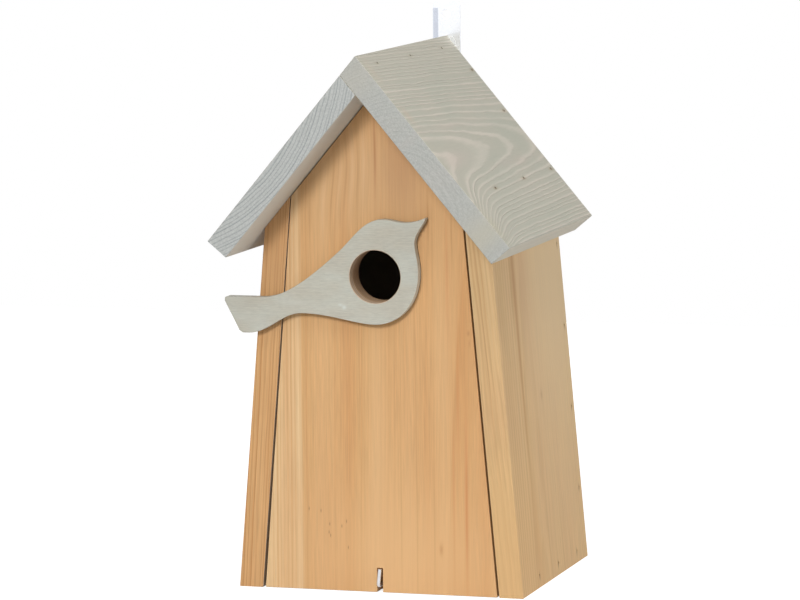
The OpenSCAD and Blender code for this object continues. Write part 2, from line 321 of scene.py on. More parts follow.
def facing(tree: Tree, place: Node, way: Vector, either_way: bool) -> Node:
    """Is 1 where the surface looks in a direction and 0 elsewhere.

    Args:
        tree: The node tree.
        place: The texture coordinates' node.
        way: The direction.
        either_way: Whether the opposite direction counts as well.

    Returns:
        The number.
    """
    dot = vector(tree, "DOT_PRODUCT", place.outputs["Normal"], way).outputs["Value"]
    if either_way:
        dot = add_node(tree, "Math", {0: dot}, operation="ABSOLUTE")
    return add_node(tree, "MapRange", {"Value": dot, "From Min": FACING[0], "From Max": FACING[1]},
                    interpolation_type="SMOOTHSTEP")


def new_material(name: str) -> bpy.types.Material:
    """Makes an empty node material of that name."""
    material = bpy.data.materials.new(name)
    material.use_nodes = True
    material.node_tree.nodes.clear()
    return material


def dress(piece: bpy.types.Object, material: bpy.types.Material) -> None:
    """Gives a piece one material all over."""
    piece.data.materials.clear()
    piece.data.materials.append(material)
    for polygon in piece.data.polygons:
        polygon.material_index = 0


@dataclass(frozen=True)
class Sawing:
    """How a board lay in its log.

    The board's own measures are in millimetres: along the grain, across the board and through its
    thickness, from the start point.
    """

    start: Vector
    along: Vector
    across: Vector
    pith_across: float
    pith_through: float
    drift_across: float = 0.0
    drift_through: float = 0.0

    def through(self) -> Vector:
        """Direction through the board's thickness."""
        return self.along.cross(self.across)

    def log_axes(self) -> Matrix:
        """The log's own directions.

        Returns:
            A matrix of them as rows, the one along its middle last.
        """
        middle = self.along + self.across * self.drift_across + self.through() * self.drift_through
        middle.normalize()
        side = (self.across - middle * self.across.dot(middle)).normalized()
        return Matrix((side, middle.cross(side), middle))

    def in_log(self, point: Vector) -> Vector:
        """A point of the part's frame, in metres, as the log's own millimetres."""
        pith = self.start + (self.across * self.pith_across + self.through() * self.pith_through) * MM
        return self.log_axes() @ (point - pith) / MM

    def on_board(self, across: float, along: float, through: float = 0.0) -> Vector:
        """A place measured on the board in millimetres, as a point of the part's frame."""
        return self.start + (self.across * across + self.along * along + self.through() * through) * MM


@dataclass(frozen=True)
class Swirl:
    """Grain that bends round a knot which was cut away beside the board. In millimetres."""

    centre: Vector
    reach_across: float
    reach_along: float
    pull: float


@dataclass(frozen=True)
class Patch:
    """A tinted place: a streak, a pin knot, a dent or a paler zone, strongest in its middle.

    The distances are in millimetres, and the strength goes from 0 to 1. A patch goes through the
    whole board, unless half_through gives half its depth.
    """

    centre: Vector
    half_across: float
    half_along: float
    strength: float
    colour: str
    half_through: float = 0.0


@dataclass(frozen=True)
class Cloud:
    """Uneven colour that comes and goes over a board, with the usual size of its patches."""

    colour: str
    strength: float
    across: float
    along: float


@dataclass(frozen=True)
class Bore:
    """A drilled hole through the board: its wall has a colour of its own and fine drill lines."""

    centre: Vector
    radius: float
    wall: str


# Share of late wood through one year's ring: it grows slowly and ends sharply. On a sawn face it is
# a narrow line, and a brushed face keeps only the late wood proud.
PLANED_RING = ((0.0, 0.0), (0.35, 0.05), (0.62, 0.3), (0.8, 0.85), (0.9, 1.0), (0.94, 1.0), (1.0, 0.0))
SAWN_RING = ((0.0, 0.05), (0.5, 0.0), (0.68, 0.45), (0.78, 1.0), (0.86, 1.0), (0.93, 0.1), (1.0, 0.05))
BRUSHED_RING = ((0.0, 0.12), (0.3, 0.0), (0.5, 0.08), (0.62, 0.6), (0.72, 1.0), (0.87, 0.95), (1.0, 0.12))


@dataclass(frozen=True)
class Timber:
    """Softwood board, sawn and planed: rings of pale early and darker late wood, and fine fibres.

    A matt, slightly open surface: the rings show as soft stripes, the fibres as short fine lines, and
    the ends as rough, darker ring arcs. Measures are in millimetres.
    """

    name: str
    sawing: Sawing
    early: str
    late: str
    end: str = "C9A67A"
    end_late: str = "B58D5E"
    ring: float = 2.6
    tighten: float = 0.0
    wander: float = 1.2
    wander_across: float = 26.0
    wander_along: float = 150.0
    ragged: float = 0.0
    fibre: float = 0.9
    fibre_along: float = 32.0
    fibre_strength: float = 0.10
    relief: float = 0.05
    fibre_relief: float = 0.06
    roughness: float = 0.62
    late_spread: float = 0.75
    profile: tuple[tuple[float, float], ...] = PLANED_RING
    speckle: float = 0.05
    pitted: float = 0.04
    sap_edge: float | None = None
    sap: str = ""
    outwards: Vector | None = None
    hidden_face: str = ROUGH_INSIDE
    edge_face: str = ""
    clouds: tuple[Cloud, ...] = ()
    swirls: tuple[Swirl, ...] = ()
    patches: tuple[Patch, ...] = ()
    bore: Bore | None = None
    # Colour of painted contact shade on a plate's back arris, where it lies on a board
    rear_shade: str = ""

    def material(self) -> bpy.types.Material:
        """Builds the board's material.

        Returns:
            A node material that reads Object coordinates.
        """
        made = new_material(self.name)
        tree = made.node_tree
        place = add_node(tree, "TexCoord")
        in_log = self.log_space(tree, place)
        late = self.rings(tree, in_log)
        # Fine lines along the grain, drawn a little coarser than real cells so that they show
        fibres = drawn_noise(tree, in_log, self.fibre, self.fibre_along, detail=2.5, roughness=0.6)
        is_end = facing(tree, place, self.sawing.along, either_way=True)
        colour = self.colours(tree, in_log, late, fibres, is_end)
        if self.outwards:
            inside = facing(tree, place, -self.outwards, either_way=False)
            colour = mix(tree, times(tree, inside, INSIDE_SHARE), colour, self.hidden_face)
            late = add_node(tree, "Mix", {"Factor": inside, "A": late, "B": 0.0})
        if self.edge_face:
            broad = facing(tree, place, self.outwards, either_way=True)
            others = add_node(tree, "Math", {0: 1.0, 1: broad}, operation="SUBTRACT")
            narrow = add_node(tree, "Math", {0: others, 1: is_end}, operation="SUBTRACT", use_clamp=True)
            covered = times(tree, narrow, NARROW_SHARE)
            colour = mix(tree, covered, colour, self.edge_face)
            late = add_node(tree, "Mix", {"Factor": covered, "A": late, "B": 0.0})
        # Painted contact shade on the back arris, where the plate lies on the board
        if self.rear_shade:
            colour = self.painted_rear_shade(tree, place, colour)
        if self.bore:
            colour = self.bore_wall(tree, place, colour)
        gloss, dull = FIBRE_GLOSS
        shader = add_node(tree, "BsdfPrincipled", {
            "Base Color": colour, "Normal": self.surface(tree, place, late, fibres, is_end), "IOR": WOOD_IOR,
            "Roughness": span(tree, fibres, end=(self.roughness - gloss, self.roughness + dull)),
            "Specular IOR Level": WOOD_SPECULAR})
        add_node(tree, "OutputMaterial", {"Surface": shader})
        return made

    def log_space(self, tree: Tree, place: Node) -> Node:
        """Turns a place on the board into the log's millimetres, with the grain's wander and swirls.

        Args:
            tree: The node tree.
            place: The texture coordinates' node.

        Returns:
            The place in the log.
        """
        straight = add_node(tree, "Mapping", {
            "Vector": place.outputs["Object"], "Location": self.sawing.in_log(Vector((0, 0, 0))),
            "Rotation": self.sawing.log_axes().to_euler(), "Scale": (1 / MM,) * 3})
        noise = drawn_noise(tree, straight, self.wander_across, self.wander_along, detail=3.0,
                            roughness=0.45)
        bent = self.shaken(tree, straight, noise, self.wander)
        if self.ragged:
            noise = drawn_noise(tree, straight, *RAGGED_SIZE, detail=2.0)
            bent = self.shaken(tree, bent, noise, self.ragged)
        for swirl in self.swirls:
            near = self.nearness(tree, straight, swirl.centre, swirl.reach_across, swirl.reach_along)
            pull = add_node(tree, "CombineXYZ", {"X": times(tree, near, swirl.pull)})
            bent = vector(tree, "SUBTRACT", bent, pull)
        return bent

    @staticmethod
    def shaken(tree: Tree, place: Node, noise: Node, reach: float) -> Node:
        """Moves places across the grain by a noise.

        Args:
            tree: The node tree.
            place: Gives the places.
            noise: The noise's node.
            reach: How far it moves them at most, in millimetres.

        Returns:
            The new places.
        """
        centred = vector(tree, "SUBTRACT", noise.outputs["Color"], (0.5, 0.5, 0.5))
        shift = vector(tree, "MULTIPLY", centred, (2 * reach, 2 * reach, 0))
        return vector(tree, "ADD", place, shift)

    def nearness(self, tree: Tree, place: Node, centre: Vector, half_across: float, half_along: float,
                 half_through: float = 0.0) -> Node:
        """Is 1 at a point of the board and falls to 0 smoothly round it.

        Args:
            tree: The node tree.
            place: Gives the place in the log.
            centre: The point, in the part's frame.
            half_across: Distance across the grain at which it has fallen to a third.
            half_along: The same distance along the grain.
            half_through: The same distance through the board, or 0 for any depth.

        Returns:
            The nearness.
        """
        away = vector(tree, "SUBTRACT", place, self.sawing.in_log(centre))
        depth = 1 / half_through if half_through else 0
        scaled = vector(tree, "MULTIPLY", away, (1 / half_across, depth, 1 / half_along))
        squared = vector(tree, "DOT_PRODUCT", scaled, scaled).outputs["Value"]
        return add_node(tree, "Math", {0: times(tree, squared, -1.0)}, operation="EXPONENT")

    def rings(self, tree: Tree, in_log: Node) -> Node:
        """Share of late wood, from 0 to 1: it grows slowly through a year's ring and ends sharply.

        Args:
            tree: The node tree.
            in_log: Gives the place in the log.

        Returns:
            The share.
        """
        radius = length(tree, in_log, (1, 1, 0))
        tight = multiply_add(tree, radius, self.tighten, 1 / self.ring)
        years = times(tree, radius, tight)
        uneven = line_noise(tree, years, GOOD_YEARS)
        aged = multiply_add(tree, uneven, GOOD_YEARS_PUSH, years)
        year = add_node(tree, "Math", {0: aged}, operation="FRACT")
        number = add_node(tree, "Math", {0: aged}, operation="FLOOR")
        luck = add_node(tree, "TexWhiteNoise", {"W": number}, noise_dimensions="1D")
        share = add_node(tree, "ValToRGB", {"Fac": year}, stops=self.profile)
        strength = span(tree, luck.outputs["Value"], end=(1 - self.late_spread, 1.0))
        return times(tree, share, strength)

    def colours(self, tree: Tree, in_log: Node, late: Node, fibres: Node, is_end: Node) -> Node:
        """Puts the wood's colour together, from its rings outwards to its marks.

        Args:
            tree: The node tree.
            in_log: Gives the place in the log.
            late: Gives the share of late wood.
            fibres: Gives the fine fibres.
            is_end: Tells end grain from faces.

        Returns:
            The colour.
        """
        base = linear(self.early)
        if self.sap_edge is not None:
            across = add_node(tree, "SeparateXYZ", {"Vector": in_log}).outputs["X"]
            edge = self.sap_edge - self.sawing.pith_across
            base = mix(tree, span(tree, across, (edge - SAP_BORDER, edge + SAP_BORDER)), self.sap, base)
        colour = mix(tree, late, base, self.late)
        for cloud in self.clouds:
            noise = drawn_noise(tree, in_log, cloud.across, cloud.along, detail=2.0)
            colour = mix(tree, span(tree, noise, CLOUD_RISE, (0, cloud.strength)), colour, cloud.colour)
        cells = add_node(tree, "TexNoise", {"Vector": in_log, "Scale": END_CELLS, "Detail": 2.0})
        pits = span(tree, cells, NOISE_MIDDLE, (1 - self.pitted, 1 + self.pitted))
        end = shaded(tree, mix(tree, late, self.end, self.end_late), pits)
        colour = mix(tree, is_end, colour, end)
        lines = span(tree, fibres, NOISE_SPREAD, (1 - self.fibre_strength, 1 + self.fibre_strength))
        colour = shaded(tree, colour, lines)
        for patch in self.patches:
            near = self.nearness(tree, in_log, patch.centre, patch.half_across, patch.half_along,
                                 patch.half_through)
            colour = mix(tree, times(tree, near, patch.strength), colour, patch.colour)
        return colour

    def painted_rear_shade(self, tree: Tree, place: Node, colour: Node) -> Node:
        """Painted contact shade on the arris at the back of a plate, where it lies on a board.

        Args:
            tree: The node tree.
            place: The texture coordinates' node.
            colour: The colour so far.

        Returns:
            The new colour.
        """
        at = add_node(tree, "SeparateXYZ", {"Vector": place.outputs["Object"]}).outputs
        face = self.sawing.start.y
        deep = span(tree, at["Y"], (face + REAR_SHADE_DEPTH[0] * MM, face + REAR_SHADE_DEPTH[1] * MM))
        over_board = span(tree, at["X"], (REAR_SHADE_ACROSS[0] * MM, REAR_SHADE_ACROSS[1] * MM))
        return mix(tree, times(tree, deep, over_board), colour, self.rear_shade)

    def bore_wall(self, tree: Tree, place: Node, colour: Node) -> Node:
        """The wall of the drilled hole, with the drill's fine lines.

        Args:
            tree: The node tree.
            place: The texture coordinates' node.
            colour: The colour so far.

        Returns:
            The new colour.
        """
        away = vector(tree, "SUBTRACT", place.outputs["Object"], self.bore.centre)
        outer, inner = ((self.bore.radius + start) * MM for start in BORE_START)
        inside = span(tree, length(tree, away, (1, 0, 1)), (outer, inner))
        at = add_node(tree, "SeparateXYZ", {"Vector": place.outputs["Object"]})
        turns = line_noise(tree, at.outputs["Y"], 1 / (DRILL_LINE * MM))
        wall = shaded(tree, linear(self.bore.wall)[:3], span(tree, turns, NOISE_MIDDLE, DRILL_SHADES))
        return mix(tree, inside, colour, wall)

    def surface(self, tree: Tree, place: Node, late: Node, fibres: Node, is_end: Node) -> Node:
        """Late wood stands proud of early wood, and fibres and open end grain roughen both.

        Args:
            tree: The node tree.
            place: The texture coordinates' node.
            late: Gives the share of late wood.
            fibres: Gives the fine fibres.
            is_end: Tells end grain from faces.

        Returns:
            The bumpy normal.
        """
        ridges = times(tree, late, span(tree, is_end, end=(self.relief, END_RELIEF * self.relief)))
        height = multiply_add(tree, fibres, self.fibre_relief, ridges)
        pores = add_node(tree, "TexNoise", {"Vector": place.outputs["Object"], "Scale": 1 / (PORE * MM),
                                            "Detail": 2.0})
        height = multiply_add(tree, pores, times(tree, is_end, self.speckle), height)
        return add_node(tree, "Bump", {"Height": height, "Distance": MM, "Strength": 1.0})


@dataclass(frozen=True)
class ZincPlate:
    """Zinc-plated sheet steel: bright, faintly blue, with a cloudy, slightly dull passivated skin.

    The grain is the size of its clouds in millimetres. The painted reflection, a band from a left to a right
    edge and up to a top, in the part's metres, has the darker shade all over, where the metal mirrors
    something darker.
    """

    name: str
    colour: str
    shade: str
    roughness: float = 0.24
    grain: float = 6.0
    painted_reflection: tuple[float, float, float] | None = None

    def material(self) -> bpy.types.Material:
        """Builds the metal's material.

        Returns:
            A node material that reads Object coordinates.
        """
        made = new_material(self.name)
        tree = made.node_tree
        place = add_node(tree, "TexCoord")
        cloud = add_node(tree, "TexNoise", {"Vector": place.outputs["Object"], "Scale": 1 / (self.grain * MM),
                                            "Detail": 4.0})
        colour = mix(tree, span(tree, cloud, ZINC_CLOUD, (0, ZINC_CLOUD_SHARE)), self.colour, self.shade)
        # Painted reflection: a band in the darker shade stands for something darker that the metal mirrors
        if self.painted_reflection:
            left, right, top = self.painted_reflection
            border = ZINC_BORDER * MM
            at = add_node(tree, "SeparateXYZ", {"Vector": place.outputs["Object"]}).outputs
            past_left = span(tree, at["X"], (left - border, left + border))
            before_right = span(tree, at["X"], (right + border, right - border))
            below = span(tree, at["Z"], (top + border, top - border))
            inside = times(tree, times(tree, past_left, before_right), below)
            colour = mix(tree, inside, colour, self.shade)
        gloss, dull = ZINC_GLOSS
        bump = add_node(tree, "Bump", {"Height": cloud, "Distance": ZINC_BUMP * MM, "Strength": 1.0})
        shader = add_node(tree, "BsdfPrincipled", {
            "Base Color": colour, "Metallic": 1.0, "Normal": bump,
            "Roughness": span(tree, cloud, end=(self.roughness - gloss, self.roughness + dull))})
        add_node(tree, "OutputMaterial", {"Surface": shader})
        return made


def eased_copy(node: str, name: str, ease: float, shortest: float) -> bpy.types.Object:
    """Copies a CAD piece, joins its loose triangles and rounds its edges a little.

    Args:
        node: Name of the CAD node.
        name: Name of the new piece, which stands for the node.
        ease: Width of the rounded edge, in millimetres.
        shortest: Edges shorter than this, in millimetres, stay sharp, as round brad holes.

    Returns:
        The new piece, which rides on nothing yet.
    """
    bpy.ops.object.select_all(action="DESELECT")
    source = frame["nodes"][node]
    source.select_set(True)
    bpy.context.view_layer.objects.active = source
    bpy.ops.object.duplicate()
    piece = bpy.context.active_object
    piece.name = name
    piece.data.name = name
    for key in LEFT_OUT_OF_COPY:
        del piece[key]
    piece.parent = None
    bpy.ops.object.mode_set(mode="EDIT")
    bpy.ops.mesh.select_all(action="SELECT")
    bpy.ops.mesh.remove_doubles(threshold=WELD * MM)
    bpy.ops.mesh.dissolve_limited(angle_limit=FLAT)
    bpy.ops.mesh.select_all(action="DESELECT")
    bpy.ops.mesh.select_mode(type="EDGE")
    shape = bmesh.from_edit_mesh(piece.data)
    for edge in shape.edges:
        folded = edge.is_manifold and edge.calc_face_angle() > FOLDED
        edge.select_set(folded and edge.calc_length() > shortest * MM)
    bmesh.update_edit_mesh(piece.data)
    bpy.ops.mesh.bevel(offset=ease * MM, offset_type="OFFSET", segments=2, profile=0.5, clamp_overlap=True,
                       loop_slide=False)
    bpy.ops.object.mode_set(mode="OBJECT")
    bpy.ops.object.shade_smooth_by_angle(angle=SMOOTH_UNDER)
    weighted = piece.modifiers.new("even_normals", "WEIGHTED_NORMAL")
    weighted.keep_sharp = True
    bpy.ops.object.modifier_apply(modifier=weighted.name)
    piece.select_set(False)
    return piece


def install(piece: bpy.types.Object, node: str, body: Body) -> None:
    """Makes a piece ride on its body and stand for its CAD node.

    Args:
        piece: The piece.
        node: The CAD node that it replaces.
        body: The body that it moves with.
    """
    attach(piece, body.value)
    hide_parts(node)
    log.info("%s: %d faces, stands for %s", piece.name, len(piece.data.polygons), node)


def loose_parts(node: str) -> list[tuple[Vector, Vector]]:
    """Boxes of the separate solids in a CAD node, such as the brads of a row.

    Args:
        node: Name of the CAD node.

    Returns:
        The lowest and highest corner of each solid, always in the same order.
    """
    shape = bmesh.new()
    shape.from_mesh(frame["nodes"][node].data)
    bmesh.ops.remove_doubles(shape, verts=shape.verts, dist=WELD * MM)
    left = set(shape.verts)
    boxes = []
    while left:
        stack = [left.pop()]
        group = list(stack)
        while stack:
            for edge in stack.pop().link_edges:
                for vert in edge.verts:
                    if vert in left:
                        left.remove(vert)
                        stack.append(vert)
                        group.append(vert)
        low = Vector(min(v.co[i] for v in group) for i in range(3))
        high = Vector(max(v.co[i] for v in group) for i in range(3))
        boxes.append((low, high))
    shape.free()
    return sorted(boxes, key=lambda box: tuple(box[0]))


def dents(node: str, outwards: Vector, half_across: float, half_along: float, strength: float,
          colour: str) -> tuple[Patch, ...]:
    """Dents round the heads of a row of brads, where the punch bruised the fibres.

    Args:
        node: Name of the brads' CAD node.
        outwards: Direction that the heads look in.
        half_across: Half their width across the grain, in millimetres.
        half_along: Half their length along the grain.
        strength: How strong their colour is, from 0 to 1.
        colour: Their colour.

    Returns:
        One patch for each brad.
    """
    marks = []
    for low, high in loose_parts(node):
        head = Vector(high[i] if outwards[i] > 0 else low[i] for i in range(3))
        marks.append(Patch(head, half_across, half_along, strength, colour))
    return tuple(marks)


def patches_on(sawing: Sawing, rows: tuple[tuple, ...]) -> tuple[Patch, ...]:
    """Patches from rows of numbers.

    Args:
        sawing: The board's sawing, from which places are measured.
        rows: Place across and along the board, half size across and along, strength and colour.

    Returns:
        One patch for each row.
    """
    return tuple(Patch(sawing.on_board(across, along), *rest) for across, along, *rest in rows)


def make_board(node: str, name: str, timber: Timber, body: Body = Body.CASE,
               ease: float = 0.4, shortest: float = 0.8) -> None:
    """Makes one board with eased edges, dresses it and sets it in its place.

    Args:
        node: The CAD node that it stands for.
        name: Name of the new piece.
        timber: Its wood.
        body: The body that it moves with.
        ease: Width of its rounded edges, in millimetres.
        shortest: Length in millimetres under which an edge stays sharp.
    """
    piece = eased_copy(node, name, ease, shortest)
    dress(piece, timber.material())
    install(piece, node, body)


class Case:
    """Sides, back and floor of the box."""

    def build(self) -> None:
        """Makes and dresses the boards of the case."""
        low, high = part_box("side_panel_right")
        right = Sawing(Vector((high.x, low.y, 0)), UP_RIGHT_SIDE, BACKWARDS, pith_across=52, pith_through=60,
                       drift_across=0.02, drift_through=0.012)
        make_board("side_panel_right", "side_board_right", Timber(
            "side_board_pale_pine", right, "D5B27F", "C49D6B", ring=2.5, wander=2.2, ragged=0.4,
            outwards=RIGHTWARDS, clouds=(Cloud("CFA578", 0.5, 45, 150), Cloud("DAB682", 0.35, 14, 60)),
            patches=self.right_tints(right) + self.side_dents("right", RIGHTWARDS)))
        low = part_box("side_panel_left")[0]
        left = Sawing(Vector((low.x, low.y, 0)), UP_LEFT_SIDE, BACKWARDS, pith_across=-40, pith_through=30,
                      drift_through=0.02)
        # Painted shade under the roof, on the upper part of the left side's front edge
        shade = Patch(left.on_board(0, 215), 30, 50, 0.35, "BE8F62")
        make_board("side_panel_left", "side_board_left", Timber(
            "side_board_amber_pine", left, "D7AB77", "B07843", ring=1.7, wander=1.0, ragged=0.15, fibre=0.6,
            fibre_strength=0.12, outwards=-RIGHTWARDS, clouds=(Cloud("C08A55", 0.5, 20, 190),),
            patches=(shade,) + self.side_dents("left", -RIGHTWARDS)))
        back = Sawing(Vector((0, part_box("back_panel")[0].y, 0)), UPWARDS, RIGHTWARDS, pith_across=12,
                      pith_through=60)
        make_board("back_panel", "back_board", Timber(
            "back_board_pine", back, "D0AA7C", "BC9263", ring=3.6, wander=2.0, outwards=BACKWARDS,
            clouds=(Cloud("C8A074", 0.5, 45, 190),)))
        floor = Sawing(Vector((0, 0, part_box("floor_board")[0].z)), RIGHTWARDS, BACKWARDS, pith_across=20,
                       pith_through=-50)
        make_board("floor_board", "floor", Timber(
            "floor_board_pine", floor, "D0AA7C", "BC9263", ring=3.6, wander=2.0, outwards=-UPWARDS))

    @staticmethod
    def right_tints(sawing: Sawing) -> tuple[Patch, ...]:
        """Pale zones, dark streak and ochre lines of the right side, and the lines of its front edge.

        Args:
            sawing: The board's sawing.

        Returns:
            The patches, the lowest first.
        """
        zones = ((130, 200, 75, 120, 0.75, "E0C69D"), (85, 235, 95, 75, 0.35, "E8CFA6"),
                 (10, 20, 45, 60, 0.6, "DBB07A"), (8, 190, 26, 45, 0.2, "B99A6C"))
        streak = ((60, 190, 14, 40, 0.25, "C08F66"), (42, 195, 4.6, 32, 0.45, "A0662F"),
                  (41, 150, 2.8, 45, 0.45, "A66C34"), (39.5, 105, 2.0, 40, 0.42, "AD7434"),
                  (36, 190, 3.0, 30, 0.3, "A5743F"), (42, 30, 7, 40, 0.3, "BD8550"))
        knot = ((80, 113, 1.6, 3.0, 0.4, "A9795A"),)
        lines = tuple((across, 110, 0.8, 400, 0.28, "A9803F") for across in (5, 9, 13.5, 18, 23, 28, 33))
        # Depth from the outer face, strength and colour of the lines on the front edge
        edge_lines = ((13, 0.38, "A8703F"), (10.5, 0.42, "A8703F"), (8, 0.34, "B07A48"),
                      (5.5, 0.25, "E9CB9C"), (3, 0.25, "E9CB9C"))
        return patches_on(sawing, zones + streak + knot + lines) + tuple(
            Patch(sawing.on_board(0, 205, depth), 2.5, 105, strength, colour, half_through=0.6)
            for depth, strength, colour in edge_lines)

    @staticmethod
    def side_dents(side: str, outwards: Vector) -> tuple[Patch, ...]:
        """Dents of the brads that go through a side board into the back and the floor."""
        return tuple(patch for row in ("back_brads", "floor_brads")
                     for patch in dents(f"{row}_{side}", outwards, 0.9, 2.3, 0.65, "6A4A2E"))


# What both roof boards share. Their stain is palest on the long narrow faces, and the undersides' pale grey
# is partly their stain and partly painted light, which stands in for light bounced onto them from the front
# board.
STAINED = {"early": "B1AEA0", "late": "C8C0B3", "hidden_face": "D9D8D1", "edge_face": "D3CEC0",
           "fibre_strength": 0.03, "fibre_relief": 0.10, "roughness": 0.7, "late_spread": 0.35}


class Roof:
    """Two stained boards; the right one laps over the left one's end."""

    def build(self) -> None:
        """Makes and dresses both roof boards."""
        body_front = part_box("side_panel_right")[0].y
        outer_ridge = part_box("roof_board_right")[1].z
        start = Vector((0, body_front, outer_ridge))
        right = Sawing(start, BACKWARDS, DOWN_RIGHT_ROOF, pith_across=80, pith_through=30,
                       drift_across=0.02, drift_through=0.048)
        knot = Swirl(right.on_board(115, -52), 27, 28, 22)
        tints = patches_on(right, (
            (118, -34, 12, 6, 0.35, "C2B897"), (12, -30, 8, 6, 0.3, "C9B59E"),
            (46, -30, 6, 5, 0.25, "CBB39B"), (82, -5, 6, 26, 0.35, "C6B5AB"),
            (60, 20, 2.5, 60, 0.2, "C6B4AA"), (95, 90, 3, 50, 0.2, "C4B1A8"),
            (10, 55, 13, 130, 0.45, "B8B4A6"), (120, 55, 13, 130, 0.4, "B8B4A6"),
            (112, -30, 14, 14, 0.3, "B8B4A6")))
        nails = dents("ridge_brads", RIGHTWARDS + UPWARDS, 0.9, 4.5, 0.5, "A0967F")
        make_board("roof_board_right", "roof_board_right_stained", Timber(
            "grey_green_stain_right", right, end="AEAFAA", end_late="AAABA6", ring=4.36, tighten=0.00165,
            pitted=0.08, speckle=0.1, wander=0.9, wander_across=18, wander_along=46, ragged=0.45, relief=0.3,
            profile=BRUSHED_RING, outwards=OFF_RIGHT_ROOF, clouds=(Cloud("A9AD9F", 0.35, 30, 60),),
            swirls=(knot,), patches=tints + self.roof_dents("right", RIGHTWARDS + UPWARDS) + nails,
            **STAINED))
        left = Sawing(start, BACKWARDS, DOWN_LEFT_ROOF, pith_across=88, pith_through=110,
                      drift_through=0.03)
        make_board("roof_board_left", "roof_board_left_stained", Timber(
            "grey_green_stain_left", left, end="B5B7B4", end_late="8E9393", ring=2.1, wander=1.2,
            wander_across=24, wander_along=60, ragged=0.35, relief=0.15, profile=SAWN_RING, pitted=0.09,
            outwards=OFF_LEFT_ROOF, patches=self.roof_dents("left", UPWARDS - RIGHTWARDS), **STAINED))

    @staticmethod
    def roof_dents(side: str, outwards: Vector) -> tuple[Patch, ...]:
        """Dents of the brads that go down through a roof board, each with a tan halo."""
        rows = (f"eave_brads_{side}", "gable_brads")
        return tuple(patch for row in rows for patch in (
            dents(row, outwards, 1.5, 5.0, 0.35, "9E8A62") + dents(row, outwards, 0.8, 2.0, 0.85, "5E4A34")))


